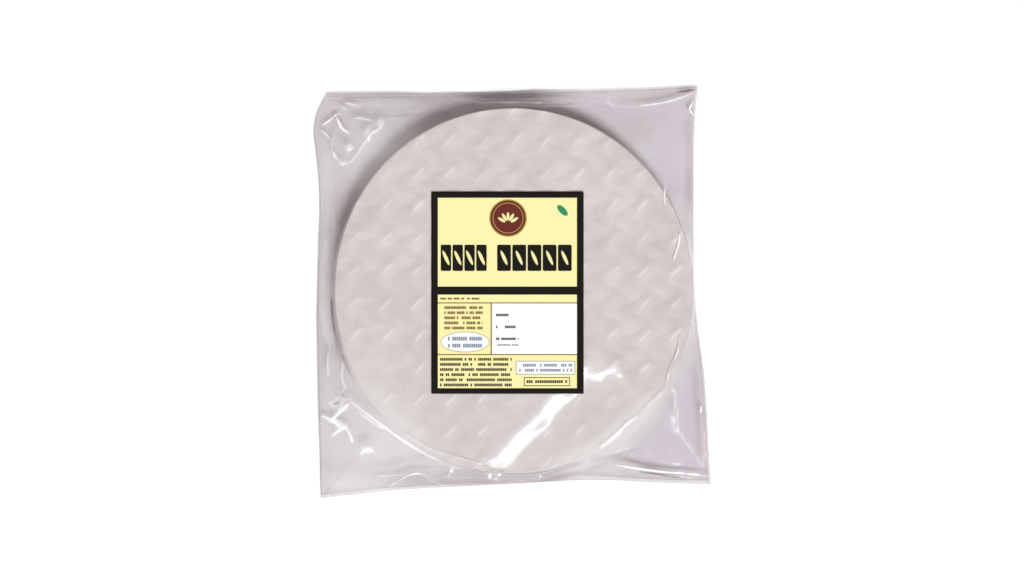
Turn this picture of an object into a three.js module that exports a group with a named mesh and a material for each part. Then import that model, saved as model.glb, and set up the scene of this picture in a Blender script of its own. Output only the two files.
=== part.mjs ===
// A sealed clear bag lying flat with a round stack of rice paper wrappers in it,
// and a paper label stuck to the film over the stack.
// Millimetres, +Z up. The origin is the middle of the bag's footprint, on the surface it lies on.
import * as THREE from "three";

// The stack inside the bag: a short drum, a little out of round.
const stackWidth = 218;
const stackLength = 222;
const stackHeight = 16;
const stackCentre = new THREE.Vector2(0.8, 1.2);

// The film: flat over the stack, bent over its edge, then hanging in a skirt to the seam.
const filmLift = 0.4; // film above the top sheet
const rimRadius = 2.4; // of the bend over the stack's edge
const rimBend = Math.PI / 3; // how far the film has turned down where it leaves the edge
const skirtSag = 1.5; // 1 is a straight skirt, more hangs lower
const underSag = 1.6; // the same for the film that rises to the seam from below
const topHeight = stackHeight + filmLift;

// The seam round the bag, where its two faces are sealed together, rises and dips in long waves.
const seamHeight = 2.4;
const seamThickness = 1.2;
const seamWaves = [
  { height: 0.5, count: 3, phase: 3.8 },
  { height: 0.4, count: 5, phase: 2.1 },
];

// The bag's outline: each side starts at a corner and bows through a few points on its way to the next,
// and is divided into the number of columns given.
const bagHalfWidth = 121.5;
const bagHalfLength = 126;
const bagSides = [
  {
    corner: [-113.5, 122],
    through: [[-20, 122.2], [62, 123.5]],
    columns: 38,
  },
  {
    corner: [114, bagHalfLength],
    through: [[112, 106], [111.4, 50], [113, -10], [118, -55]],
    columns: 42,
  },
  {
    corner: [bagHalfWidth, -117.5],
    through: [[88, -116.3], [46, -114.8], [-9, -117.8], [-70, -121]],
    columns: 40,
  },
  {
    corner: [-117, -bagHalfLength],
    through: [[-118.7, -50], [-119.4, -5], [-117.8, 58]],
    columns: 38,
  },
  {
    corner: [-bagHalfWidth, 97],
    through: [[-120, 109]],
    columns: 8,
  },
];

// Folds: at every corner the film stands up in a ridge from the stack out to the corner,
// with a valley on each side, and small pleats run across the sides.
const ridgeHeight = 2.6;
const ridgeAngle = 0.13; // radians either side of a corner
const valleyDepth = 1.6;
const valleyAngle = 0.34;
const pleatHeight = 0.5;
const pleatCount = 29;

// The label.
const labelWidth = 92;
const labelLength = 122;
const labelThickness = 0.3;
const labelGap = 0.1;
const labelCentre = new THREE.Vector2(-2.7, -0.2);

// How finely the bag is divided, over the rim, out from the stack and back underneath.
const rimRings = 3;
const skirtRings = 9;
const underRings = 4;

const filmMaterial = new THREE.MeshStandardMaterial({ color: 0xd8d0ce, roughness: 0.25, metalness: 0 });
const labelMaterial = new THREE.MeshStandardMaterial({ color: 0xfbf3bb, roughness: 0.5, metalness: 0 });

// The outline as points, anticlockwise: each side is a smooth curve between two sharp corners.
function bagOutline() {
  const points = bagSides.flatMap((side, index) => {
    const next = bagSides[(index + 1) % bagSides.length];
    const stops = [side.corner, ...side.through, next.corner];
    const curve = new THREE.SplineCurve(stops.map(([x, y]) => new THREE.Vector2(x, y)));
    return curve.getSpacedPoints(side.columns).slice(0, side.columns);
  });
  return points.reverse();
}

// Angle of a point as seen from the stack's centre.
function angleFromStack([x, y]) {
  return Math.atan2(y - stackCentre.y, x - stackCentre.x);
}

const cornerAngles = bagSides.map((side) => angleFromStack(side.corner));

// Bell curve: 1 at the middle and close to 0 two widths away.
function bell(distance, width) {
  return Math.exp(-((distance / width) ** 2));
}

// How far a direction is from the nearest corner of the bag.
function turnToCorner(angle) {
  const turns = cornerAngles.map((corner) => {
    const turn = angle - corner;
    return Math.abs(Math.atan2(Math.sin(turn), Math.cos(turn)));
  });
  return Math.min(...turns);
}

// Height of the folds: none at the stack or at the seam, most between them.
function foldHeight(angle, along) {
  const turn = turnToCorner(angle);
  const corner = ridgeHeight * bell(turn, ridgeAngle) - valleyDepth * bell(turn - valleyAngle, ridgeAngle);
  const pleat = pleatHeight * Math.sin(pleatCount * angle);
  return (corner + pleat) * Math.sin(Math.PI * along);
}

// Height of the seam's middle.
function seamLevel(angle) {
  const waves = seamWaves.map((wave) => wave.height * Math.sin(wave.count * angle + wave.phase));
  return waves.reduce((level, wave) => level + wave, seamHeight);
}

// A point of the stack's edge, moved in (less than 0) or out along X and Y.
function stackEdge(angle, move) {
  return new THREE.Vector2(
    stackCentre.x + (stackWidth / 2 + move) * Math.cos(angle),
    stackCentre.y + (stackLength / 2 + move) * Math.sin(angle),
  );
}

// The film's bend over the stack's edge: an arc that starts level with the flat top.
function rimPoint(angle, bend) {
  return stackEdge(angle, filmLift - rimRadius * (1 - Math.sin(bend)));
}

function rimHeight(bend) {
  return topHeight - rimRadius * (1 - Math.cos(bend));
}

// One column of the bag, from the flat top over the rim, down the skirt to the seam, and back underneath.
function bagColumn(edge) {
  const angle = angleFromStack(edge.toArray());
  const seam = seamLevel(angle);
  const column = [];
  const add = (point, height) => column.push(new THREE.Vector3(point.x, point.y, height));

  for (let ring = 0; ring < rimRings; ring += 1) {
    const bend = (rimBend * ring) / rimRings;
    add(rimPoint(angle, bend), rimHeight(bend));
  }

  const rim = rimPoint(angle, rimBend);
  const seamTop = seam + seamThickness / 2;
  for (let ring = 0; ring <= skirtRings; ring += 1) {
    const along = ring / skirtRings;
    const drop = (rimHeight(rimBend) - seamTop) * (1 - along) ** skirtSag;
    add(rim.clone().lerp(edge, along), seamTop + drop + foldHeight(angle, along));
  }

  const foot = stackEdge(angle, -rimRadius);
  const seamBottom = seam - seamThickness / 2;
  for (let ring = underRings; ring >= 0; ring -= 1) {
    const along = ring / underRings;
    add(foot.clone().lerp(edge, along), seamBottom * along ** underSag);
  }
  return column;
}

// The whole bag: columns joined round the stack, closed by a fan on the flat top and one underneath.
function bagGeometry() {
  const columns = bagOutline().map(bagColumn);
  const rings = columns[0].length;
  const positions = columns.flat().flatMap((point) => point.toArray());
  positions.push(stackCentre.x, stackCentre.y, topHeight);
  positions.push(stackCentre.x, stackCentre.y, 0);
  const topCentre = columns.length * rings;
  const baseCentre = topCentre + 1;
  const faces = [];
  for (let column = 0; column < columns.length; column += 1) {
    const here = column * rings;
    const next = ((column + 1) % columns.length) * rings;
    faces.push(topCentre, here, next);
    for (let ring = 0; ring < rings - 1; ring += 1) {
      faces.push(here + ring, here + ring + 1, next + ring + 1);
      faces.push(here + ring, next + ring + 1, next + ring);
    }
    faces.push(baseCentre, next + rings - 1, here + rings - 1);
  }
  const geometry = new THREE.BufferGeometry();
  geometry.setAttribute("position", new THREE.Float32BufferAttribute(positions, 3));
  geometry.setIndex(faces);
  geometry.computeVertexNormals();
  return geometry;
}

const wrapperBag = new THREE.Group();

const bag = new THREE.Mesh(bagGeometry(), filmMaterial);
bag.name = "bag";
wrapperBag.add(bag);

const label = new THREE.Mesh(new THREE.BoxGeometry(labelWidth, labelLength, labelThickness), labelMaterial);
label.name = "label";
label.position.set(labelCentre.x, labelCentre.y, topHeight + labelGap + labelThickness / 2);
wrapperBag.add(label);

export default wrapperBag;
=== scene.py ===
import math

import bpy
import numpy as np
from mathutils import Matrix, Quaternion, Vector


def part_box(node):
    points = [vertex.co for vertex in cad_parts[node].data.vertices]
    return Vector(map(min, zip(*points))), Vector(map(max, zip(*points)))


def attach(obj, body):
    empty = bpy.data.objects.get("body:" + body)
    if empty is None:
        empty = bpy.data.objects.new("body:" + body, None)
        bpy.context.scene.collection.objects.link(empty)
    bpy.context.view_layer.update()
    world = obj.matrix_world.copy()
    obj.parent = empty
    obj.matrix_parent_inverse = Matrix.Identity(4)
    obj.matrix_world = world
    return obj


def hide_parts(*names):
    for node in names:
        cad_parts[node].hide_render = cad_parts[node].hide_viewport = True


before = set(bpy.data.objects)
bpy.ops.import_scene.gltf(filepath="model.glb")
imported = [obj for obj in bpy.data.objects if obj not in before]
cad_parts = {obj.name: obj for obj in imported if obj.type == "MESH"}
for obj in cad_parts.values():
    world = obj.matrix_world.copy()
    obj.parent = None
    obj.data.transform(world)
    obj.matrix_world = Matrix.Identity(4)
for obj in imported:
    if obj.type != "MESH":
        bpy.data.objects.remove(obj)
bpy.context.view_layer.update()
mm = 0.001  # surfaces are worked out in millimetres and put into meshes in metres
print("frame loaded", sorted(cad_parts))


# Meshes from arrays

def gridFaces(rows, columns, start=0):
    # quads of a rows by columns grid of points, turned so that they face +Z
    index = start + np.arange(rows * columns).reshape(rows, columns)
    return np.stack([index[:-1, :-1], index[:-1, 1:], index[1:, 1:], index[1:, :-1]], -1).reshape(-1, 4)


def gridRim(rows, columns):
    # the outer points of such a grid, anticlockwise from its first
    n = rows * columns
    return np.r_[0:columns - 1, columns - 1:n - 1:columns, n - 1:n - columns:-1, n - columns:0:-columns]


def ringFaces(rings):
    # quads between rings of points that run anticlockwise, the outermost first on an underside
    following = np.roll(rings, -1, 1)
    return np.stack([rings[:-1], rings[1:], following[1:], following[:-1]], -1).reshape(-1, 4)


def hubFaces(ring, hub):
    # triangles that close an underside from its last ring to a hub
    return np.stack([ring, np.full(len(ring), hub), np.roll(ring, -1)], -1)


def addPiece(name, points, faces, material, standsFor):
    # points in mm; faces is a list of arrays, each with faces of one size
    mesh = bpy.data.meshes.new(name)
    corners = np.concatenate([block.ravel() for block in faces])
    sizes = np.concatenate([np.full(len(block), block.shape[1]) for block in faces])
    mesh.vertices.add(len(points))
    mesh.vertices.foreach_set("co", (np.asarray(points) * mm).astype(np.float32).ravel())
    mesh.loops.add(len(corners))
    mesh.loops.foreach_set("vertex_index", corners.astype(np.int32))
    mesh.polygons.add(len(sizes))
    mesh.polygons.foreach_set("loop_start", np.r_[0, np.cumsum(sizes)[:-1]].astype(np.int32))
    mesh.update(calc_edges=True)
    mesh.validate()
    mesh.polygons.foreach_set("use_smooth", np.ones(len(mesh.polygons), bool))
    piece = bpy.data.objects.new(name, mesh)
    bpy.context.scene.collection.objects.link(piece)
    mesh.materials.append(material)
    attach(piece, "root")
    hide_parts(standsFor)
    return piece


def addAttribute(piece, name, values):
    # one value for each point, for the material to read
    attribute = piece.data.attributes.new(name, "FLOAT", "POINT")
    attribute.data.foreach_set("value", np.asarray(values, np.float32).ravel())


# Shared shapes

lattice = 64  # random heights along each side of a noise pattern, which then repeats


def smoothStep(low, high, x):
    # 0 up to low and 1 from high on, with an eased slope between
    t = np.clip((x - low) / (high - low), 0, 1)
    return t * t * (3 - 2 * t)


def valueNoise(x, y, cell, seed):
    # smooth random hills: seeded heights on a square lattice, eased between its corners
    heights = np.random.default_rng(seed).uniform(-1, 1, (lattice, lattice))
    u, v = x / cell + 31.7, y / cell + 29.3  # starts near the lattice's middle
    i, j = np.floor(u).astype(int), np.floor(v).astype(int)
    fu, fv = smoothStep(0, 1, u - i), smoothStep(0, 1, v - j)
    corner = lambda a, b: heights[(i + a) % lattice, (j + b) % lattice]
    near = corner(0, 0) * (1 - fu) + corner(1, 0) * fu
    return near * (1 - fv) + (corner(0, 1) * (1 - fu) + corner(1, 1) * fu) * fv


def facetNoise(x, y, cell, seed):
    # crumpled film: seeded heights on a lattice of triangles, joined by flat facets with sharp edges
    heights = np.random.default_rng(seed).uniform(-1, 1, (lattice, lattice))
    shear, stretch = 0.577, 1.155  # 1 / sqrt 3 and 2 / sqrt 3 make the triangles even
    u, v = x / cell + shear * y / cell + 27.1, stretch * y / cell + 33.4
    i, j = np.floor(u).astype(int), np.floor(v).astype(int)
    fu, fv = u - i, v - j
    corner = lambda a, b: heights[(i + a) % lattice, (j + b) % lattice]
    lower = corner(0, 0) * (1 - fu - fv) + corner(1, 0) * fu + corner(0, 1) * fv
    upper = corner(1, 1) * (fu + fv - 1) + corner(1, 0) * (1 - fv) + corner(0, 1) * (1 - fu)
    return np.where(fu + fv < 1, lower, upper)


def layered(noise, x, y, table):
    # sum of one kind of noise at several sizes, each with a height, a cell size and a seed
    return sum(height * noise(x, y, cell, seed) for height, cell, seed in table)


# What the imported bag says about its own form

def readBag(seamThickness, rimReach):
    # the flat top gives the stack's centre and reach; places with two points one seam thickness apart
    # are the sealed edge
    topSlack, seamSlack = 0.01, 0.2  # mm by which such heights may differ
    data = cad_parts["bag"].data
    points = np.zeros(len(data.vertices) * 3)
    data.vertices.foreach_get("co", points)
    points = points.reshape(-1, 3) / mm
    topHeight = points[:, 2].max()
    flat = points[points[:, 2] > topHeight - topSlack, :2]
    centre = (flat.min(0) + flat.max(0)) / 2
    reach = (flat.max(0) - flat.min(0)) / 2 + rimReach
    places, member = np.unique(np.round(points[:, :2], 2), axis=0, return_inverse=True)
    low = np.full(len(places), np.inf)
    high = -low
    np.minimum.at(low, member.ravel(), points[:, 2])
    np.maximum.at(high, member.ravel(), points[:, 2])
    sealed = np.abs(high - low - seamThickness) < seamSlack
    edge = places[sealed]
    angle = np.arctan2(edge[:, 1] - centre[1], edge[:, 0] - centre[0])
    order = np.argsort(angle)
    return {
        "centre": centre,
        "reach": reach,
        "topHeight": topHeight,
        "edge": edge[order],
        "edgeAngle": angle[order],
        "edgeRadius": np.hypot(*(edge[order] - centre).T),
        "seamHeight": ((low + high) / 2)[sealed][order],
    }


bag = readBag(seamThickness=1.2, rimReach=2.0)
print("bag outline of", len(bag["edge"]), "points, stack reach", bag["reach"].round(1))


def aroundStack(x, y):
    # angle round the stack, distance outside its rim, and how far along from rim (0) to sealed edge (1)
    dx, dy = x - bag["centre"][0], y - bag["centre"][1]
    angle = np.arctan2(dy, dx)
    rim = 1 / np.hypot(np.cos(angle) / bag["reach"][0], np.sin(angle) / bag["reach"][1])
    out = np.interp(angle, bag["edgeAngle"], bag["edgeRadius"], period=2 * np.pi)
    outside = np.hypot(dx, dy) - rim
    return angle, outside, np.clip(outside / (out - rim), 0, 1)


def innerRings(x, y, shares):
    # rings of points at given shares of the way out from the stack's centre to a rim
    share = np.array(shares)[:, None]
    centreX, centreY = bag["centre"]
    return centreX + share * (x - centreX), centreY + share * (y - centreY)


# Wrappers

wrappers = {
    "count": 32,
    "thickness": 0.36,
    "bottom": 0.5,  # underside of the lowest sheet
    "top": 15.85,  # top of the uppermost sheet, before its weave
    "weavePitch": 13.76,  # bamboo strips of the drying mat, pressed into the sheet
    "weaveStart": (2.0, -5.9),  # a place where a rising strip passes over
    "weaveLift": 0.28,  # strips going over and under
    "weaveCrown": 0.48,  # each strip's own roundness
    "weaveWander": (1.3, 24),  # how far strips stray from straight, and over what length
    "drying": ((0.1, 46, 5), (0.07, 13, 6), (0.035, 4.5, 7)),  # uneven hills: height, size, seed
    "crestWidth": (0.7, 2.4),  # half widths of the painted glint on a strip's back and of the fainter painted glow round it
    "crestLuck": ((0.6, 11, 8), (0.3, 37, 9)),  # how strongly the painted glints vary: share, size, seed
    "rimDrop": 0.35,  # how far a sheet's rim turns down
    "rimWidth": 9,  # and over what width
    "rimWobble": 0.35,  # waves in a sheet's outline
    "rimInset": 0.6,  # how far sheets end inside the stack's reach
    "slip": 0.5,  # how far sheets lie off the stack's centre
    "slipShape": (1.0, 0.7),  # shares of that across and upwards
    "middle": -0.2,  # level of a sheet's middle, below its weave
    "topGrid": 300,
    "underRings": (1.0, 0.965, 0.92),  # of the uppermost sheet, as shares of the way out
    "insets": (14.0, 5.0, 0.0),  # rings of a lower sheet, in mm from its rim
    "rimPoints": 240,
    "seed": 11,
}
weaveHeight = wrappers["weaveCrown"] + wrappers["weaveLift"]


def strips(x, y):
    # place along and across the rising strips, in strip widths, and how far they pass over there,
    # from -1 to 1
    pitch, (startX, startY) = wrappers["weavePitch"], wrappers["weaveStart"]
    stray, length = wrappers["weaveWander"]
    x = x - startX + stray * valueNoise(x, y, length, 3)
    y = y - startY + stray * valueNoise(x, y, length, 4)
    p, q = (y + x) / math.sqrt(2) / pitch, (y - x) / math.sqrt(2) / pitch
    return p, q, np.cos(np.pi * p) * np.cos(np.pi * q)


def weave(x, y):
    # plain weave turned by 45 degrees: two crossing sets of strips with ridged backs that pass over
    # and under each other in turn, and the higher of the two is the surface
    ridge, soft = 1.5, 0.03  # power of a back's slope, and mm in which strips run into each other
    p, q, over = strips(x, y)
    crown = lambda across: wrappers["weaveCrown"] * (1 - np.abs(2 * (across - np.round(across))) ** ridge)
    first, second = crown(q) + wrappers["weaveLift"] * over, crown(p) - wrappers["weaveLift"] * over
    return soft * np.logaddexp(first / soft, second / soft)


def crestGlints(x, y):
    # painted glints: 1 on the backs of rising strips where they pass over, uneven from strip to strip
    q, over = strips(x, y)[1:]
    across = (q - np.round(q)) * wrappers["weavePitch"]
    core, glow = wrappers["crestWidth"]
    luck = 0.74 + layered(valueNoise, x, y, wrappers["crestLuck"])
    line = np.exp(-(across / core) ** 2) + 0.3 * np.exp(-(across / glow) ** 2)
    return np.clip(luck, 0, 1) * line * smoothStep(0.15, 0.9, over)


def sheetRelief(x, y):
    # weave of the mat with unevenness from drying, turned down a little at the rim
    outside = aroundStack(x, y)[1]
    drop = wrappers["rimDrop"] * smoothStep(-wrappers["rimWidth"], 0, outside)
    return weave(x, y) + layered(valueNoise, x, y, wrappers["drying"]) - drop


def discPlan(n):
    # square grid folded smoothly into a disc, so that cells stay nearly square
    a = np.linspace(-1, 1, n)
    u, v = np.meshgrid(a, a)
    wide = np.abs(u) >= np.abs(v)
    radius = np.where(wide, u, v)
    with np.errstate(divide="ignore", invalid="ignore"):
        turn = np.where(wide, np.pi / 4 * v / u, np.pi / 2 - np.pi / 4 * u / v)
    turn = np.nan_to_num(turn)
    return radius * np.cos(turn), radius * np.sin(turn)


def sheetEdge(angle, seed):
    # rim of one sheet against the stack's: a little inside it, with slow waves of random size and start
    draw = np.random.default_rng(seed)
    wobble, waves, fullTurn = wrappers["rimWobble"], range(2, 7), 6.3
    uneven = sum(draw.normal(0, wobble / k) * np.cos(k * angle + draw.uniform(0, fullTurn)) for k in waves)
    return uneven - wrappers["rimInset"]


def topWrapper(material):
    # uppermost sheet: disc grid with the weave on it, a rim wall, and an underside of a few rings
    # closed by a fan
    n = wrappers["topGrid"]
    u, v = discPlan(n)
    angle = np.arctan2(v, u)
    wobble = sheetEdge(angle, wrappers["seed"]) * np.hypot(u, v)
    x = bag["centre"][0] + u * bag["reach"][0] + wobble * np.cos(angle)
    y = bag["centre"][1] + v * bag["reach"][1] + wobble * np.sin(angle)
    z = wrappers["top"] - weaveHeight + sheetRelief(x, y)
    rim = gridRim(n, n)
    underX, underY = innerRings(x.ravel()[rim], y.ravel()[rim], wrappers["underRings"])
    relief = sheetRelief(underX, underY)
    relief[-1] = wrappers["middle"]
    level = wrappers["top"] - weaveHeight - wrappers["thickness"]
    points = np.concatenate([
        np.stack([x, y, z], -1).reshape(-1, 3),
        np.stack([underX, underY, level + relief], -1).reshape(-1, 3),
        [[*bag["centre"], level + wrappers["middle"]]],
    ])
    rings = np.concatenate([rim[None], n * n + np.arange(underX.size).reshape(underX.shape)])
    quads = np.concatenate([gridFaces(n, n), ringFaces(rings)])
    fan = hubFaces(rings[-1], len(points) - 1)
    piece = addPiece("top_wrapper", points, [quads, fan], material, "bag")
    # where the material paints glints on the weave's crests
    addAttribute(piece, "crestGlint", np.r_[crestGlints(x, y).ravel(), np.zeros(len(points) - n * n)])
    return piece


def lowerWrappers(material):
    # the other sheets: each a thin disc of rings, top and underside, following the same weave
    # so that they nest
    draw = np.random.default_rng(wrappers["seed"])
    count, rim = wrappers["count"] - 1, wrappers["rimPoints"]
    pitch = (wrappers["top"] - weaveHeight - wrappers["bottom"] - wrappers["thickness"]) / count
    angle = np.linspace(0, 2 * np.pi, rim, endpoint=False)
    insets = wrappers["insets"]
    inset = np.array([*insets, *reversed(insets)])[:, None]  # from inside out over the top and back under
    lift = np.repeat([wrappers["thickness"], 0.0], len(insets))[:, None]
    blocks, faces, fans = [], [], []
    for sheet in range(count):
        slip = draw.normal(0, wrappers["slip"], 2) * wrappers["slipShape"]
        edge = sheetEdge(angle, wrappers["seed"] + 1 + sheet)
        reach = bag["reach"][:, None, None] + edge - inset
        x = bag["centre"][0] + slip[0] + reach[0] * np.cos(angle)
        y = bag["centre"][1] + slip[1] + reach[1] * np.sin(angle)
        relief = np.where(inset == max(insets), wrappers["middle"], sheetRelief(x, y))
        z = wrappers["bottom"] + sheet * pitch + lift + relief
        start = sum(len(block) for block in blocks)
        ringIndex = start + np.arange(z.size).reshape(z.shape)
        faces.append(ringFaces(ringIndex))
        hubs = [[*bag["centre"], ring.mean()] for ring in (z[0], z[-1])]
        hub = start + z.size
        fans.append(hubFaces(ringIndex[0], hub)[:, ::-1])
        fans.append(hubFaces(ringIndex[-1], hub + 1))
        blocks.append(np.concatenate([np.stack([x, y, z], -1).reshape(-1, 3), hubs]))
    allFaces = [np.concatenate(faces), np.concatenate(fans)]
    return addPiece("wrapper_stack", np.concatenate(blocks), allFaces, material, "bag")


# Film

film = {
    "columns": 288,  # of the upper film's grid
    "rows": 296,
    "crowding": 1.6,  # 0 for an even grid; above it the grid is closer in the outer parts
    "crowded": (0.27, 0.2),  # shares of the bag's width from its edges between which that sets in
    "turn": (-2.5, 1.5),  # mm outside the stack's rim between which the film leaves its top
    "shoulder": 0.6,  # how far the skirt starts below the top
    "sag": 1.2,  # 1 for a straight skirt; above it the skirt hangs in a hollow
    "underSag": 1.6,  # the same for the lower film, as it rises to the seam
    "underLift": 0.08,  # lower film above the floor
    "underRipple": (0.5, 19, 51),  # height, size, seed
    "underRings": (0.985, 0.96, 0.93, 0.895, 0.86, 0.82, 0.77, 0.6, 0.3),  # shares of the way out
    "gap": 0.15,  # least distance between upper and lower film
    "lowest": 0.5,  # point of the upper film
    "ripples": ((0.35, 9, 1), (0.25, 17, 2), (0.15, 31, 0)),  # of the seam: height, number, start
    "swell": ((0.08, 60, 21),),  # over the stack: height, size, seed
    "print": 0.03,  # share of the weave's relief that shows through the film
    "crumple": {"upper left": 0.3, "upper right": 0.1, "lower left": 0.2, "lower right": 0.06},  # mm
    "crumpleBlend": 60,  # mm from the middle in which these run into each other
    "crumpleSizes": ((1.0, 15.0, 41), (0.35, 6.5, 42)),  # share, size, seed
    "crumpleWarp": (4, 22),  # how far facets are pulled about, and over what length
    "haze": ((0.08, 30, 61), (0.06, 9, 62)),  # uneven cloudiness: share, size, seed
}

# How a crease is shaped, in its own half widths
fold = {
    "reach": 6,  # how far it is worked out
    "flank": 1.3,  # how far its fold falls away
    "whiteBand": 0.55,  # how wide its painted glint is
    # strength of the painted glint, and of the painted shade of a dark fold
    "whiteness": 2.4,
    "uneven": ((0.35, 5, 71),),  # how its painted glint varies: share, size, seed
}

# Creases of the upper film. Each is a route in mm, the height of its fold, its half width,
# and the strength of the painted glint along it (painted shade along a fold below 0)
creases = {
    "upper left loop": ([(-108, 100), (-110, 92), (-109.5, 86), (-106, 81), (-102.5, 78)],
                        0.7, 0.9, 0.36),
    "upper left arm": ([(-102.5, 78), (-98, 80), (-94, 85), (-89, 92.5), (-86, 96), (-81, 100),
                        (-78.5, 103), (-78, 105)], 0.9, 0.95, 0.45),
    "upper left patch": ([(-87, 92), (-86.5, 97), (-83, 98.5)], 0.38, 1.4, 0.8),
    "upper left spot": ([(-99.5, 87), (-97, 88)], 0.38, 1.01, 1.0),
    "upper left star 1": ([(-116.5, 102), (-110, 106.5), (-107.5, 108.7), (-104.5, 109.5)],
                          0.68, 0.86, 0.9),
    "upper left star 2": ([(-108.5, 109.5), (-106, 104.5), (-104, 100.5), (-99.5, 97)],
                          0.75, 0.94, 1.0),
    "upper left star 3": ([(-116.5, 100), (-114, 97), (-111, 94)], 0.52, 0.86, 0.8),
    "upper left star 4": ([(-102, 116.5), (-98, 115.2), (-92, 114)], 0.52, 0.86, 0.8),
    "upper left star 5": ([(-105, 115), (-100, 110)], 0.38, 0.86, 0.5),
    "upper left star 6": ([(-97.5, 106.5), (-92, 106.2), (-86, 105)], 0.45, 0.86, 0.8),
    "left fold": ([(-110, 74), (-108.5, 62), (-109, 48), (-110, 36), (-112, 20)], -0.45, 1.25, 0.0),
    "left glint": ([(-112, -37), (-112.5, -44), (-112, -51)], 0.38, 0.94, 0.7),
    "top fold": ([(-36, 118), (-28, 117), (-20, 115.8), (-8, 115.7), (2, 115.6), (16, 115.3), (26, 115.5),
                  (36, 115.2)], 0.4, 1.3, 0.45),
    "top fold 2": ([(-100, 111), (-84, 108.5), (-66, 108), (-50, 110)], -0.3, 1.4, -0.15),
    "upper right line": ([(71, 113.3), (82, 114.5), (92, 116), (99.5, 118), (106, 120.2), (111.5, 122.3)],
                         0.9, 0.94, 1.0),
    "upper right tip": ([(101, 122.5), (107, 123.4), (112, 124.2)], 0.38, 1.01, -0.7),
    "upper right curl": ([(111, 116.5), (108.7, 112.5), (110, 110), (111.3, 108.5)], 0.45, 0.78, 0.9),
    "right rim 1": ([(93, 64.5), (92, 58.5), (92.5, 52)], 0.06, 0.78, 0.9),
    "right rim 2": ([(101.2, 36), (101, 31), (99.8, 26), (97.6, 19.5)], 0.06, 0.78, 1.0),
    "right rim 3": ([(101.5, -26.5), (100, -36), (96, -44.5)], 0.06, 0.78, 0.8),
    "right rim 4": ([(96, -43), (94.5, -50), (93, -57)], 0.06, 0.78, 0.6),
    "lower left chord": ([(-97.5, -66.5), (-86, -75), (-77, -81.5), (-66, -89.5), (-54, -97), (-42, -103)],
                         0.75, 0.94, 0.9),
    "lower left chord 2": ([(-93, -72.5), (-84, -79), (-78, -82.5)], 0.38, 1.09, 0.45),
    "lower left rim": ([(-64, -86), (-50, -94), (-35, -99), (-17, -104)], 0.2, 1.25, 0.35),
    "lower left star 1": ([(-99, -67.5), (-103.5, -71.5), (-110.5, -78)], 0.75, 1.25, 1.0),
    "lower left star 2": ([(-116, -75.5), (-110.5, -78), (-105, -81), (-102.5, -82)], 0.75, 1.17, 0.9),
    "lower left star 3": ([(-101, -81), (-105, -83.5), (-109.5, -87)], 0.68, 1.17, 0.9),
    "lower left star 4": ([(-101.5, -81.5), (-99, -86), (-97, -91)], 0.68, 1.17, 0.8),
    "lower left spot": ([(-92, -98), (-88, -95), (-84.5, -96.5)], 0.52, 1.33, 0.9),
    "lower left drop": ([(-35.5, -105.5), (-38, -111)], 0.38, 0.94, 0.9),
    "bottom fold": ([(-75, -119), (-70, -115.5), (-64, -112), (-58, -110.5), (-53.5, -111.5), (-49.5, -115),
                     (-41.5, -118.5)], 0.68, 0.86, 0.7),
    "bottom fold 2": ([(-82, -112), (-74, -111.7), (-66, -111.3)], 0.38, 0.86, 0.4),
    "bottom fold 3": ([(-53.5, -112), (-45.5, -114), (-40, -112), (-28, -112.5), (5, -114)],
                      0.3, 0.78, 0.3),
    "bottom valley": ([(-94, -109.5), (-76, -109.6), (-64, -107.2), (-52, -106), (-40, -105.8)],
                      -0.6, 3.2, -0.22),
    "lower right band": ([(54, -93), (61, -88), (69.5, -79.5), (75, -75.5)], 0.0, 1.8, 0.8),
    "lower right band 2": ([(75, -75.5), (82.5, -68.5), (93.5, -57.5)], 0.0, 2.4, 0.3),
    "lower right line": ([(62, -105), (68, -106), (76.5, -107.5), (91, -109.5), (104, -110.5), (120, -112)],
                         0.98, 0.94, 1.0),
    "lower right fold": ([(78, -109.6), (91, -111.4), (104, -114)], -0.45, 1.09, -0.5),
    "lower right spot": ([(58, -103.5), (60.5, -103)], 0.3, 1.09, 0.7),
    "lower right edge": ([(116, -69.5), (115.2, -73.5)], 0.38, 0.86, 0.9),
    "top edge": ([(-113, 120.4), (-100, 119.6), (-80, 119.3), (-50, 119.6)], 0.1, 0.78, -0.35),
    "bottom rim": ([(-46, -101.5), (-34, -106), (-15, -110.8), (0, -112), (20, -110.4), (41, -103.6),
                    (60, -99.6), (77, -94.6)], 0.1, 1.2, -0.36),
    "left shade": ([(-102.5, 52), (-108, 30), (-110, 6), (-109.6, -12), (-106.6, -32), (-101, -48)],
                   0.0, 2.4, -0.27),
    "left rim": ([(-108.9, 14), (-109.1, -4), (-107.9, -20), (-104.2, -34), (-98.4, -48), (-92.6, -58.5)],
                 0.0, 1.2, -0.42),
    "right shade": ([(108.5, 104), (108.6, 80), (108.8, 50), (110, 28)], 0.0, 2.4, -0.16),
    "right shade 2": ([(113, -50), (114.3, -75), (115.5, -106)], 0.0, 2.4, -0.16),
    "lower right faint": ([(101, -68.5), (100.6, -81.5)], 0.3, 0.94, 0.35),
}
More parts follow.
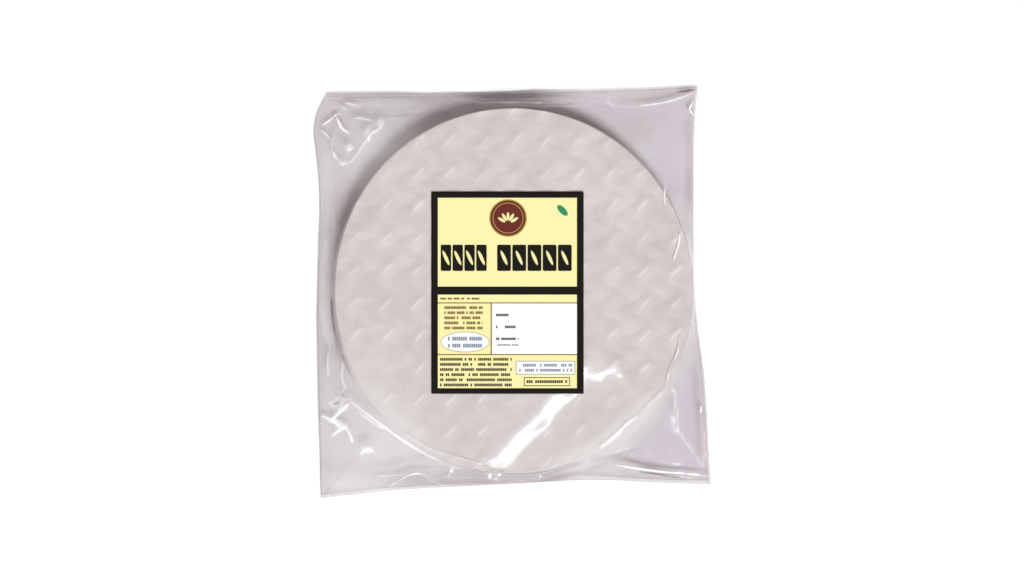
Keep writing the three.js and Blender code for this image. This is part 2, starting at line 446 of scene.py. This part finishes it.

# Painted glints on small facets, and painted shade below 0: centre, half length, half width,
# turn in degrees, share
glints = [
    ((-104, -71), 4.0, 1.5, 40, 1.0),
    ((-108, -78.3), 3.5, 1.4, -20, 0.9),
    ((-104, -81.8), 2.6, 2.0, 10, 1.2),
    ((-88.8, -95.6), 2.6, 1.7, -20, 0.7),
    ((-80.2, 103), 3.0, 1.7, 80, 1.2),
    ((-87.8, 97.4), 3.0, 1.4, 80, 1.0),
    ((-108.2, 83.6), 2.2, 0.8, -62, 1.0),
    ((-102.6, 78.7), 2.4, 0.9, 14, 1.1),
    ((-99.4, 88), 2.0, 1.6, 60, 1.2),
    ((-105, 102.3), 3.0, 1.3, -60, 0.9),
    ((-13.5, -111.5), 2.2, 0.9, 80, 1.7),
    ((-8, -111), 2.4, 0.8, 60, 1.7),
    ((-10, -114.3), 2.8, 0.6, -20, 1.3),
    ((17, -112), 1.4, 0.8, 50, 1.6),
    ((49.7, -108.2), 1.0, 0.8, 40, 0.5),
    ((-10, -115.4), 52, 3.2, 0, -0.62),
    ((-2, 119.9), 32, 2.7, 0.5, -1.25),
    ((33, -111.2), 17, 3.0, 13, -0.62),
    ((58, -103.6), 15, 3.0, 24, -0.3),
    ((90, -98), 18, 9, 0, -0.06),
    ((112, -88), 3, 24, 0, -0.04),
]

# Patches where the film is paler, from haze and painted sheen, and clearer below 0, in the same form
hazeAndSheen = [
    ((-90, 92), 28, 14, 45, 1.3),
    ((-80, 115), 36, 3.5, 0, 0.5),
    ((-114, 40), 50, 5, 90, 1.0),
    ((-104, -116), 24, 7, 0, 0.9),
    ((66, -82), 40, 9, 45, 0.8),
    ((60, -108), 14, 5, 0, 0.3),
    ((42, -97), 24, 5, 25, 0.6),
    ((-92, -92), 28, 18, -38, 0.95),
    ((-72, -78), 50, 13, -45, 0.6),
    ((-112, -62), 4, 20, 0, 0.5),
    ((-110, -96), 9, 14, 0, 0.5),
    ((-115, -8), 34, 4, 90, 0.6),
    ((-80, -40), 50, 30, 60, 0.35),
    ((0, -78), 90, 36, 0, 0.4),
    ((-72, 80), 34, 9, 45, 0.45),
    ((80, 90), 14, 12, 0, 0.3),
    ((112, 20), 60, 3, 90, -0.3),
    ((2, 118), 50, 8, 0, -0.5),
    ((12, 114), 36, 2.4, 0, 0.6),
]


def smoothPath(points, steps=6):
    # Catmull-Rom curve through the points
    knots = np.array(points, float)
    ends = np.concatenate([2 * knots[:1] - knots[1:2], knots, 2 * knots[-1:] - knots[-2:-1]])
    t = np.linspace(0, 1, steps, endpoint=False)[None, :, None]
    p0, p1, p2, p3 = (ends[k:len(ends) - 3 + k, None] for k in range(4))
    bend = (2 * p0 - 5 * p1 + 4 * p2 - p3) * t ** 2 + (3 * p1 - p0 - 3 * p2 + p3) * t ** 3
    return np.concatenate([(p1 + 0.5 * ((p2 - p0) * t + bend)).reshape(-1, 2), knots[-1:]])


def nearPath(x, y, path):
    # distance to a route, and how far along it the nearest point lies, from 0 to 1
    step = np.hypot(*np.diff(path, axis=0).T)
    passed = np.r_[0, np.cumsum(step)] / step.sum()
    best = np.full(x.shape, np.inf)
    along = np.zeros(x.shape)
    for k in range(len(step)):
        way = (path[k + 1] - path[k]) / step[k]
        t = np.clip((x - path[k, 0]) * way[0] + (y - path[k, 1]) * way[1], 0, step[k])
        away = np.hypot(x - path[k, 0] - t * way[0], y - path[k, 1] - t * way[1])
        closer = away < best
        best = np.where(closer, away, best)
        along = np.where(closer, passed[k] + t / step.sum(), along)
    return best, along


def spots(x, y, table):
    # sum of soft turned ovals, each a bell curve along and across
    total = np.zeros(x.shape)
    for (cx, cy), length, width, turn, share in table:
        c, s = math.cos(math.radians(turn)), math.sin(math.radians(turn))
        along, across = (x - cx) * c + (y - cy) * s, (y - cy) * c - (x - cx) * s
        total += share * np.exp(-(along / length) ** 2 - (across / width) ** 2)
    return total


def creaseField(x, y):
    # sum of all creases, which fade towards their ends: lift of their sharp folds, and painted glints
    # along their crests (painted shade below 0); the facets' painted glints and shade are added
    lift, glintAndShade = np.zeros(x.shape), np.zeros(x.shape)
    for route, height, width, white in creases.values():
        path = smoothPath(route)
        margin = fold["reach"] * width
        low, high = path.min(0) - margin, path.max(0) + margin
        near = (x > low[0]) & (x < high[0]) & (y > low[1]) & (y < high[1])
        away, along = nearPath(x[near], y[near], path)
        fade = np.sin(np.pi * (0.1 + 0.8 * along)) ** 0.7
        lift[near] += height * fade * np.exp(-away / (fold["flank"] * width))
        uneven = 0.75 + layered(valueNoise, x[near], y[near], fold["uneven"])
        # painted glint along the crest, painted shade where the crease's strength is below 0
        band = np.exp(-(away / (fold["whiteBand"] * width)) ** 2)
        glintAndShade[near] += fold["whiteness"] * white * fade * uneven * band
    return lift, glintAndShade + spots(x, y, glints)


def hazeSheenField(x, y):
    # sum of the patches of haze and painted sheen with uneven haze, levelling off at 1
    steepness = 1.3
    return np.tanh(steepness * (spots(x, y, hazeAndSheen) + layered(valueNoise, x, y, film["haze"])))


def resample(line, share):
    # points at given shares of a polyline's length
    step = np.r_[0, np.cumsum(np.hypot(*np.diff(line, axis=0).T))]
    return np.stack([np.interp(share * step[-1], step, line[:, k]) for k in (0, 1)], -1)


def bagSide(fromWay, toWay, share):
    # stretch of the outline, anticlockwise, between the corners furthest in two diagonal directions
    edge = bag["edge"]
    first, last = int(np.argmax(edge @ fromWay)), int(np.argmax(edge @ toWay))
    picks = np.arange(first, first + (last - first) % len(edge) + 1) % len(edge)
    return resample(edge[picks], share)


def crowdedShares(count):
    # 0 to 1 in steps that are shorter in the outer parts, where the film is creased
    share = np.linspace(0, 1, 500)
    closeness = 1 + film["crowding"] * smoothStep(*film["crowded"], np.minimum(share, 1 - share))
    passed = np.r_[0, np.cumsum((closeness[1:] + closeness[:-1]) / 2)]
    return np.interp(np.linspace(0, passed[-1], count), passed, share)


def filmPlan():
    # grid over the bag seen from above: the four sides blended across by a Coons patch
    across, upward = crowdedShares(film["columns"]), crowdedShares(film["rows"])
    lowerLeft, lowerRight, upperRight, upperLeft = (-1, -1), (1, -1), (1, 1), (-1, 1)
    bottom, right = bagSide(lowerLeft, lowerRight, across), bagSide(lowerRight, upperRight, upward)
    top, left = bagSide(upperRight, upperLeft, across)[::-1], bagSide(upperLeft, lowerLeft, upward)[::-1]
    u = across[None, :, None]
    v = upward[:, None, None]
    sides = (1 - v) * bottom + v * top + (1 - u) * left[:, None] + u * right[:, None]
    lower = (1 - u) * (1 - v) * bottom[0] + u * (1 - v) * bottom[-1]
    upper = (1 - u) * v * top[0] + u * v * top[-1]
    return np.moveaxis(sides - (lower + upper), -1, 0)


def seamLine(angle):
    # height of the sealed edge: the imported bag's, with shorter ripples
    level = np.interp(angle, bag["edgeAngle"], bag["seamHeight"], period=2 * np.pi)
    return level + sum(height * np.sin(number * angle + start) for height, number, start in film["ripples"])


def crumpleShare(x, y):
    # how strongly the film is crumpled here, blended between the bag's four corners
    amount, blend = film["crumple"], film["crumpleBlend"]
    right, up = smoothStep(-blend, blend, x), smoothStep(-blend, blend, y)
    low = amount["lower left"] * (1 - right) + amount["lower right"] * right
    high = amount["upper left"] * (1 - right) + amount["upper right"] * right
    return low * (1 - up) + high * up


def upperFilm(x, y):
    # flat over the stack with a faint print of the weave, then a skirt that sags to the seam,
    # broken by crumpled facets and by the creases
    angle, outside, along = aroundStack(x, y)
    seam = seamLine(angle)
    over = bag["topHeight"] + layered(valueNoise, x, y, film["swell"]) + film["print"] * weave(x, y)
    hang = seam + (bag["topHeight"] - film["shoulder"] - seam) * (1 - along) ** film["sag"]
    turned = smoothStep(*film["turn"], outside)
    stray, length = film["crumpleWarp"]
    warpX = x + stray * valueNoise(x, y, length, 31)
    warpY = y + stray * valueNoise(x, y, length, 32)
    skirt = smoothStep(0.5, 9, outside) * (1 - along ** 5)
    crumpled = crumpleShare(x, y) * skirt * layered(facetNoise, warpX, warpY, film["crumpleSizes"])
    creased = creaseField(x, y)[0] * smoothStep(1.0, 0.92, along)
    return np.maximum(over * (1 - turned) + hang * turned + crumpled + creased, film["lowest"])


def lowerFilm(x, y):
    # flat under the stack, rising to the seam with a few shallow ripples
    angle, outside, along = aroundStack(x, y)
    height, size, seed = film["underRipple"]
    rise = seamLine(angle) * along ** film["underSag"]
    ripple = height * facetNoise(x, y, size, seed) * smoothStep(4, 14, outside) * (1 - along)
    return np.maximum(film["underLift"] + rise + ripple, film["underLift"])


def bagFilm(material):
    # upper film on a grid; lower film in rings that start from the same sealed edge and close on a hub
    x, y = filmPlan()
    n = x.size
    rim = gridRim(*x.shape)
    upper = np.maximum(upperFilm(x, y), lowerFilm(x, y) + film["gap"]).ravel()
    upper[rim] = seamLine(aroundStack(x, y)[0]).ravel()[rim]
    underX, underY = innerRings(x.ravel()[rim], y.ravel()[rim], film["underRings"])
    points = np.concatenate([
        np.stack([x.ravel(), y.ravel(), upper], -1),
        np.stack([underX, underY, lowerFilm(underX, underY)], -1).reshape(-1, 3),
        [[*bag["centre"], film["underLift"]]],
    ])
    rings = np.concatenate([rim[None], n + np.arange(underX.size).reshape(underX.shape)])
    quads = np.concatenate([gridFaces(*x.shape), ringFaces(rings)])
    fan = hubFaces(rings[-1], len(points) - 1)
    piece = addPiece("bag_film", points, [quads, fan], material, "bag")
    # painted glints and painted shade of the creases and facets, for the material
    glintAndShade = creaseField(x, y)[1]
    addAttribute(piece, "glintAndShade", np.r_[glintAndShade.ravel(), np.zeros(len(points) - n)])
    # patches of haze and painted sheen, for the material
    below = np.minimum(hazeSheenField(*points[n:, :2].T), 0)  # the lower film is only ever clearer
    addAttribute(piece, "hazeSheen", np.r_[hazeSheenField(x, y).ravel(), below])
    print("film of", len(quads) * 2 + len(fan), "triangles")
    return piece


# Label

label = {
    "columns": 62,
    "rows": 82,
    "thickness": 0.18,
    "lift": 0.12,  # above the film
}
labelLow, labelHigh = (np.array(corner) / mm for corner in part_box("label"))
labelCentre = (labelLow + labelHigh) / 2


def stuckLabel(material):
    # thin sheet that follows the film under it: upper grid, under grid and a wall round the edge
    columns, rows = label["columns"], label["rows"]
    x, y = np.meshgrid(
        np.linspace(labelLow[0], labelHigh[0], columns),
        np.linspace(labelLow[1], labelHigh[1], rows),
    )
    under = upperFilm(x, y) + label["lift"]
    top = under + label["thickness"]
    n = rows * columns
    ring = gridRim(rows, columns)
    wall = ringFaces(np.stack([ring, ring + n]))
    points = np.concatenate([np.stack([x, y, z], -1).reshape(-1, 3) for z in (top, under)])
    faces = np.concatenate([gridFaces(rows, columns), gridFaces(rows, columns, n)[:, ::-1], wall])
    return addPiece("label_sheet", points, [faces], material, "label")


# Materials

def startMaterial(name):
    # a new material, its nodes and its main shader
    material = bpy.data.materials.new(name)
    material.use_nodes = True
    return material, material.node_tree, material.node_tree.nodes["Principled BSDF"]


def setInputs(tree, node, inputs):
    # links each input that is a socket and sets each one that is a value
    pairs = inputs.items() if isinstance(inputs, dict) else enumerate(inputs)
    for key, value in pairs:
        if isinstance(value, bpy.types.NodeSocket):
            tree.links.new(value, node.inputs[key])
        else:
            node.inputs[key].default_value = value


def addNode(tree, kind, inputs=(), **settings):
    node = tree.nodes.new(kind)
    for name, value in settings.items():
        setattr(node, name, value)
    setInputs(tree, node, inputs)
    return node


def mathOf(tree, operation, *values, clamp=False):
    return addNode(tree, "ShaderNodeMath", values, operation=operation, use_clamp=clamp).outputs[0]


def vectorOf(tree, operation, *values):
    return addNode(tree, "ShaderNodeVectorMath", values, operation=operation).outputs[0]


def lengthOf(tree, vector):
    return addNode(tree, "ShaderNodeVectorMath", [vector], operation="LENGTH").outputs["Value"]


def splitOf(tree, vector):
    return addNode(tree, "ShaderNodeSeparateXYZ", [vector]).outputs


def rangeOf(tree, value, fromMin, fromMax, toMin=0.0, toMax=1.0):
    # a value carried from one range to another and held inside it
    limits = {"From Min": fromMin, "From Max": fromMax, "To Min": toMin, "To Max": toMax}
    return addNode(tree, "ShaderNodeMapRange", {"Value": value, **limits}).outputs[0]


def noiseOf(tree, place, scale, detail):
    inputs = {"Vector": place, "Scale": scale, "Detail": detail}
    return addNode(tree, "ShaderNodeTexNoise", inputs).outputs[0]


def attributeOf(tree, name):
    return addNode(tree, "ShaderNodeAttribute", attribute_name=name).outputs["Fac"]


def mixColour(tree, factor, below, above):
    node = addNode(tree, "ShaderNodeMix", {0: factor, 6: below, 7: above}, data_type="RGBA")
    return node.outputs[2]


def bumpOf(tree, height, strength, distance):
    inputs = {"Strength": strength, "Distance": distance, "Height": height}
    return addNode(tree, "ShaderNodeBump", inputs).outputs[0]


paperLook = {
    "pale": (0.83, 0.785, 0.745, 1),
    "dull": (0.74, 0.69, 0.655, 1),
    # colour of the painted glints on the weave's crests, and how strongly they show
    "crestGlint": (0.97, 0.94, 0.92, 1),
    "crestShare": 0.9,
    "mottleScale": 55,  # pale and dull patches, per m
    "streakScale": (70, 240, 70),  # closer across the rising strips than along them
    "streakShare": 0.3,
    "grainScale": 900,
    "grainDepth": 0.0001,  # m
    "roughness": (0.27, 0.4),
}


def wrapperMaterial():
    # off-white, faintly mottled dried starch with a fine grain, paler in streaks, with painted glints on
    # the weave's crests
    material, tree, shader = startMaterial("dried_rice_sheet")
    place = tree.nodes.new("ShaderNodeTexCoord").outputs["Object"]
    mottle = noiseOf(tree, place, paperLook["mottleScale"], 4)
    grain = noiseOf(tree, place, paperLook["grainScale"], 3)
    colour = mixColour(tree, rangeOf(tree, mottle, 0.3, 0.7), paperLook["dull"], paperLook["pale"])
    slanted = addNode(tree, "ShaderNodeMapping", {
        "Vector": place, "Rotation": (0, 0, -math.pi / 4), "Scale": paperLook["streakScale"]}).outputs[0]
    streaks = rangeOf(tree, noiseOf(tree, slanted, 1.0, 3), 0.45, 0.75, 0.0, paperLook["streakShare"])
    # painted glints on the crests, on top of the paler streaks
    crestGlint = attributeOf(tree, "crestGlint")
    paler = mathOf(tree, "MULTIPLY_ADD", crestGlint, paperLook["crestShare"], streaks, clamp=True)
    setInputs(tree, shader, {
        "Base Color": mixColour(tree, paler, colour, paperLook["crestGlint"]),
        "Roughness": rangeOf(tree, grain, 0.0, 1.0, *paperLook["roughness"]),
        "Normal": bumpOf(tree, grain, 0.25, paperLook["grainDepth"]),
        "IOR": 1.5,
    })
    return material


filmLook = {
    "haze": (0.52, 0.47, 0.497, 1),
    "bright": (0.97, 0.97, 0.97, 1),  # painted glints along creases; pale haze and painted sheen in patches
    "dark": (0.166, 0.107, 0.107, 1),  # painted brown shade in folds
    "tint": (0.965, 0.95, 0.965, 1),
    "cover": 0.2,  # share of light that the film stops, seen square on
    "edgeCover": 0.55,  # added where it is seen edge on
    "hazeSheenCover": 0.3,  # added in patches of haze and painted sheen
    "creaseCover": 0.7,  # added on painted glints along creases and on painted shade in folds
    "mostCover": 0.95,
}


def filmMaterial():
    # clear film: mostly see-through, with a little haze and gloss that grow where it is seen edge on,
    # paler in haze and painted sheen, with painted glints on creases and dull, brown painted shade in folds
    material, tree, shader = startMaterial("clear_film")
    glintAndShade, hazeSheen = attributeOf(tree, "glintAndShade"), attributeOf(tree, "hazeSheen")
    white = mathOf(tree, "MAXIMUM", glintAndShade, 0.0, clamp=True)
    dark = mathOf(tree, "MULTIPLY", glintAndShade, -1.0, clamp=True)
    creased = mathOf(tree, "ADD", white, dark)
    facing = addNode(tree, "ShaderNodeLayerWeight", {"Blend": 0.5}).outputs["Facing"]
    edgeOn = mathOf(tree, "POWER", facing, 4.0)
    cover = mathOf(tree, "MULTIPLY_ADD", edgeOn, filmLook["edgeCover"], filmLook["cover"])
    cover = mathOf(tree, "MULTIPLY_ADD", hazeSheen, filmLook["hazeSheenCover"], cover)
    cover = mathOf(tree, "MULTIPLY_ADD", creased, filmLook["creaseCover"], cover)
    capped = mathOf(tree, "MINIMUM", cover, filmLook["mostCover"], clamp=True)
    clear = addNode(tree, "ShaderNodeBsdfTransparent", {"Color": filmLook["tint"]}).outputs[0]
    mix = addNode(tree, "ShaderNodeMixShader", [capped, clear, shader.outputs[0]]).outputs[0]
    tree.links.new(mix, tree.nodes["Material Output"].inputs["Surface"])
    # paler under painted glints and painted sheen, brown under painted shade
    paler = mathOf(tree, "SMOOTH_MAX", white, hazeSheen, 0.2)
    colour = mixColour(tree, paler, filmLook["haze"], filmLook["bright"])
    setInputs(tree, shader, {
        "Base Color": mixColour(tree, dark, colour, filmLook["dark"]),
        "Roughness": 0.06,
        "IOR": 1.5,
        # no gloss on painted glints and painted shade
        "Coat Weight": mathOf(tree, "SUBTRACT", 1.0, creased, clamp=True),
        "Coat Roughness": 0.05,
        "Coat IOR": 2.1,
    })
    return material


inks = {
    "black": (0.0125, 0.012, 0.0102, 1),
    "cream": (0.91, 0.835, 0.4, 1),
    "white": (0.93, 0.93, 0.92, 1),
    "brown": (0.16, 0.075, 0.03, 1),
    "maroon": (0.145, 0.03, 0.025, 1),
    "gold": (0.47, 0.35, 0.085, 1),
    "green": (0.03, 0.27, 0.12, 1),
    "slate": (0.2, 0.24, 0.33, 1),
}
inkEdge = 0.1  # mm on each side of a printed edge in which it is soft


def startGroup(name, vectors, values):
    # a node group with named vectors and values that go in and one mask that comes out
    tree = bpy.data.node_groups.new(name, "ShaderNodeTree")
    for kind, titles in (("NodeSocketVector", vectors), ("NodeSocketFloat", values)):
        for title in titles:
            tree.interface.new_socket(title, in_out="INPUT", socket_type=kind)
    tree.interface.new_socket("Mask", in_out="OUTPUT", socket_type="NodeSocketFloat")
    return tree, tree.nodes.new("NodeGroupInput").outputs, tree.nodes.new("NodeGroupOutput").inputs["Mask"]


def useGroup(tree, group, **inputs):
    return addNode(tree, "ShaderNodeGroup", inputs, node_tree=group).outputs[0]


def rectangleGroup():
    # 1 inside a rectangle with rounded corners: distance to its edge, softened
    tree, given, mask = startGroup("ink rectangle", ("Place", "Centre", "Half"), ("Corner",))
    offset = vectorOf(tree, "ABSOLUTE", vectorOf(tree, "SUBTRACT", given["Place"], given["Centre"]))
    inner = vectorOf(tree, "SUBTRACT", given["Half"], given["Corner"])
    past = vectorOf(tree, "MULTIPLY", vectorOf(tree, "SUBTRACT", offset, inner), (1, 1, 0))
    outer = lengthOf(tree, vectorOf(tree, "MAXIMUM", past, (0, 0, 0)))
    side = splitOf(tree, past)
    inside = mathOf(tree, "MINIMUM", mathOf(tree, "MAXIMUM", side[0], side[1]), 0.0)
    distance = mathOf(tree, "SUBTRACT", mathOf(tree, "ADD", outer, inside), given["Corner"])
    tree.links.new(rangeOf(tree, distance, inkEdge, -inkEdge), mask)
    return tree


def ellipseGroup():
    # 1 inside an ellipse, which may be turned: length of the place in half sizes, softened at 1
    tree, given, mask = startGroup("ink ellipse", ("Place", "Centre", "Half"), ("Turn",))
    offset = vectorOf(tree, "SUBTRACT", given["Place"], given["Centre"])
    turned = addNode(tree, "ShaderNodeVectorRotate", {"Vector": offset, "Angle": given["Turn"]},
                     rotation_type="Z_AXIS").outputs[0]
    share = vectorOf(tree, "MULTIPLY", vectorOf(tree, "DIVIDE", turned, given["Half"]), (1, 1, 0))
    size = splitOf(tree, given["Half"])
    narrow = mathOf(tree, "MINIMUM", size[0], size[1])
    distance = mathOf(tree, "MULTIPLY", mathOf(tree, "SUBTRACT", lengthOf(tree, share), 1.0), narrow)
    tree.links.new(rangeOf(tree, distance, inkEdge, -inkEdge), mask)
    return tree


def dashesGroup():
    # rows of short dashes: cells of one stroke width, some left empty at random
    emptyShare, halfHeight, dashLength = 0.2, 0.27, 0.82  # of all cells, of a row and of a cell
    tree, given, mask = startGroup("ink dashes", ("Place",), ("Rows", "Stroke", "Seed"))
    place = splitOf(tree, given["Place"])
    row = mathOf(tree, "DIVIDE", place[1], given["Rows"])
    cell = mathOf(tree, "DIVIDE", place[0], given["Stroke"])
    key = addNode(tree, "ShaderNodeCombineXYZ", [
        mathOf(tree, "FLOOR", cell), mathOf(tree, "FLOOR", row), given["Seed"]]).outputs[0]
    chance = addNode(tree, "ShaderNodeTexWhiteNoise", [key]).outputs["Value"]
    filled = mathOf(tree, "GREATER_THAN", chance, emptyShare)
    fromMiddle = mathOf(tree, "ABSOLUTE", mathOf(tree, "SUBTRACT", mathOf(tree, "FRACT", row), 0.5))
    inRow = mathOf(tree, "LESS_THAN", fromMiddle, halfHeight)
    inCell = mathOf(tree, "LESS_THAN", mathOf(tree, "FRACT", cell), dashLength)
    tree.links.new(mathOf(tree, "MULTIPLY", filled, mathOf(tree, "MULTIPLY", inRow, inCell)), mask)
    return tree


def labelMaterial():
    # coated paper printed with plain fields: black ground, cream panels, white boxes, ruled lines,
    # rows of dashes, a band of tiles and a round badge; places in mm from the label's middle
    material, tree, shader = startMaterial("printed_label")
    boxShape, ovalShape, dashShape = rectangleGroup(), ellipseGroup(), dashesGroup()
    fromOrigin = tree.nodes.new("ShaderNodeTexCoord").outputs["Object"]
    centred = vectorOf(tree, "SUBTRACT", fromOrigin, tuple(labelCentre * mm))
    place = vectorOf(tree, "MULTIPLY", centred, (1 / mm, 1 / mm, 0))
    fibre = noiseOf(tree, place, 1.4, 3)

    def box(left, right, bottom, top, corner=0.0):
        centre = ((left + right) / 2, (bottom + top) / 2, 0)
        half = ((right - left) / 2, (top - bottom) / 2, 0)
        return useGroup(tree, boxShape, Place=place, Centre=centre, Half=half, Corner=corner)

    def oval(centreX, centreY, halfX, halfY, turn=0.0):
        centre, half = (centreX, centreY, 0), (halfX, halfY, 1)
        return useGroup(tree, ovalShape, Place=place, Centre=centre, Half=half, Turn=turn)

    def dashes(left, right, bottom, top, rows, stroke, seed):
        # rows of dashes that fill a box; rows is the height of one
        start = vectorOf(tree, "SUBTRACT", place, (left, bottom, 0))
        marks = useGroup(tree, dashShape, Place=start, Rows=rows, Stroke=stroke, Seed=seed)
        return mathOf(tree, "MULTIPLY", marks, box(left, right, bottom, top))

    layers = [
        ("cream", box(-42.1, 41.9, 3.8, 57.4)),
        ("cream", box(-42.1, 41.9, -57.6, -1.1)),
        ("white", box(-9.4, 41.9, -37.0, -6.0)),
        ("brown", box(-42.1, 41.9, -6.4, -5.8)),
        ("brown", box(-42.1, 41.9, -37.6, -37.0)),
        ("brown", box(-10.2, -9.5, -37.3, -6.1)),
        ("brown", oval(-25.7, -29.7, 14.8, 6.2)),
        ("white", oval(-25.7, -29.7, 14.5, 5.9)),
        ("slate", box(5.0, 40.9, -49.4, -41.1)),
        ("white", box(5.4, 40.5, -49.0, -41.5)),
        ("black", box(9.9, 37.7, -56.3, -51.0)),
        ("cream", box(10.35, 37.25, -55.85, -51.45)),
        ("black", dashes(-40.6, -17, -4.5, -2.5, 2.0, 0.9, 1.0)),
        ("brown", dashes(-38.2, -15, -22.8, -7.4, 3.08, 0.95, 2.0)),
        ("slate", dashes(-36, -15.5, -34.0, -25.6, 4.2, 1.3, 3.0)),
        ("black", dashes(-7, 0.6, -14.8, -12, 2.8, 1.1, 4.0)),
        ("black", dashes(-7, 5, -22.0, -19.2, 2.8, 1.1, 5.0)),
        ("black", dashes(-7, 6.6, -29.2, -26.4, 2.8, 1.1, 6.0)),
        ("slate", dashes(-7, 6.6, -32.4, -30.6, 1.8, 0.8, 7.0)),
        ("black", dashes(-40.8, 2.5, -57.2, -38.6, 3.1, 1.15, 8.0)),
        ("slate", dashes(7, 39, -48.3, -42.2, 3.05, 1.15, 9.0)),
        ("black", dashes(11.5, 36.2, -55.2, -52.1, 3.1, 1.3, 10.0)),
        ("green", oval(33.2, 49.8, 4.2, 1.9, 0.8)),
    ]
    badgeX, badgeY = 0.3, 45.2
    for ink, radius in (("gold", 11.4), ("maroon", 10.7), ("gold", 9.3), ("maroon", 8.9)):
        layers.append((ink, oval(badgeX, badgeY, radius, radius)))
    fanY, fanRadius = 41.6, 4.6  # the badge's grains stand round this place
    for turn in (-1.0, -0.5, 0.0, 0.5, 1.0):
        grainX, grainY = badgeX + fanRadius * math.sin(turn), fanY + fanRadius * math.cos(turn)
        layers.append(("cream", oval(grainX, grainY, 0.85, 2.5, turn)))
    tileBottom, tileTop, tileGap = 13.2, 29.1, 0.8
    for bandLeft, pitch, tiles in ((-40.4, 7.15, 4), (-6.3, 9.18, 5)):
        for left in (bandLeft + tile * pitch for tile in range(tiles)):
            right = left + pitch - tileGap
            layers.append(("black", box(left, right, tileBottom, tileTop, 1.0)))
            layers.append(("cream", oval((left + right) / 2, (tileBottom + tileTop) / 2, 1.0, 4.6, -0.42)))
    colour = inks["black"]
    for ink, mask in layers:
        colour = mixColour(tree, mask, colour, inks[ink])
    setInputs(tree, shader, {
        "Base Color": colour,
        "Roughness": rangeOf(tree, fibre, 0.0, 1.0, 0.5, 0.62),
        "Normal": bumpOf(tree, fibre, 0.15, 0.0001),
        "Specular IOR Level": 0.22,
    })
    return material


# Build

paper = wrapperMaterial()
topWrapper(paper)
lowerWrappers(paper)
print("wrappers stacked:", wrappers["count"])
bagFilm(filmMaterial())
print("film laid over them")
stuckLabel(labelMaterial())
print("label stuck on")


# Studio

studio = {
    "floorColour": (0.96, 0.96, 0.96, 1),
    "floorHalf": 4.0,  # m
    "world": 0.16,
    "worldColour": (1.0, 0.75, 0.73, 1),
    "lens": 60.0,
    "sensor": 36.0,
    "viewWidth": 618.9,  # mm seen across the picture at the top of the stack
}

# Daylight: heading that it comes from, elevation, width in degrees, strength, colour
suns = {
    "key": ((0.42, -0.9), 54.0, 22.0, 3.56, (0.98, 1.024, 1.028)),
    "fill": ((-1.0, 0.2), 35.0, 60.0, 0.32, (1.0, 0.8, 0.81)),
}

# Rectangular lamps, which the film mirrors: place and aim in m, size, power, colour, turn in radians
softboxes = {
    "streak": ((0.0165, -0.1738, 1.05), (0.0165, -0.1738, 0), (0.2, 0.0062), 0.08, (0.88, 1, 1), -0.8),
    "hook": ((0.109, -0.0962, 1.05), (0.109, -0.0962, 0), (0.048, 0.0048), 0.026, (0.88, 1, 1), -0.04),
    "left": ((-1.0, -0.35, 0.5), (0, 0, 0), (0.03, 0.5), 0.12, (1, 1, 1), 0.0),
    "back": ((-0.15, 1.0, 0.6), (0, 0, 0), (0.5, 0.03), 0.04, (1, 1, 1), 0.0),
}


def floorMaterial():
    material, tree, shader = startMaterial("pale_floor")
    look = {"Base Color": studio["floorColour"], "Roughness": 0.9, "Specular IOR Level": 0.0}
    setInputs(tree, shader, look)
    return material


def addFloor():
    half = studio["floorHalf"]
    mesh = bpy.data.meshes.new("floor")
    corners = [(-half, -half, 0), (half, -half, 0), (half, half, 0), (-half, half, 0)]
    mesh.from_pydata(corners, [], [(0, 1, 2, 3)])
    mesh.materials.append(floorMaterial())
    floor = bpy.data.objects.new("floor", mesh)
    bpy.context.scene.collection.objects.link(floor)


def addLamp(name, kind, strength, colour, way, roll=0.0):
    # a lamp that shines along a direction, turned about it
    lamp = bpy.data.lights.new(name, kind)
    lamp.energy, lamp.color = strength, colour
    holder = bpy.data.objects.new(name, lamp)
    bpy.context.scene.collection.objects.link(holder)
    holder.rotation_mode = "QUATERNION"
    holder.rotation_quaternion = Quaternion(way, roll) @ way.to_track_quat("-Z", "Y")
    return holder


def addSun(name, heading, elevation, width, strength, colour):
    # broad even daylight that the film doesn't mirror
    rise = math.radians(elevation)
    flat = math.cos(rise) / math.hypot(*heading)
    way = Vector((-heading[0] * flat, -heading[1] * flat, -math.sin(rise)))
    holder = addLamp(name, "SUN", strength, colour, way)
    holder.data.angle = math.radians(width)
    holder.visible_glossy = False


def addSoftbox(name, place, aim, size, power, colour, roll):
    holder = addLamp(name, "AREA", power, colour, Vector(aim) - Vector(place), roll)
    holder.data.shape = "RECTANGLE"
    holder.data.size, holder.data.size_y = size
    holder.location = place


def addCamera():
    # straight above the middle, as far up as the lens needs for the width of the view
    camera = bpy.data.cameras.new("camera")
    camera.lens, camera.sensor_width = studio["lens"], studio["sensor"]
    holder = bpy.data.objects.new("camera", camera)
    distance = studio["viewWidth"] * studio["lens"] / studio["sensor"]
    holder.location = (0, 0, (distance + bag["topHeight"]) * mm)
    bpy.context.scene.collection.objects.link(holder)
    bpy.context.scene.camera = holder


def addWorld():
    world = bpy.data.worlds.new("studio")
    world.use_nodes = True
    background = world.node_tree.nodes["Background"]
    background.inputs["Strength"].default_value = studio["world"]
    background.inputs["Color"].default_value = studio["worldColour"]
    bpy.context.scene.world = world
    bpy.context.scene.view_settings.view_transform = "Standard"


addFloor()
for name, values in suns.items():
    addSun(name, *values)
for name, values in softboxes.items():
    addSoftbox(name, *values)
addCamera()
addWorld()
print("studio set")
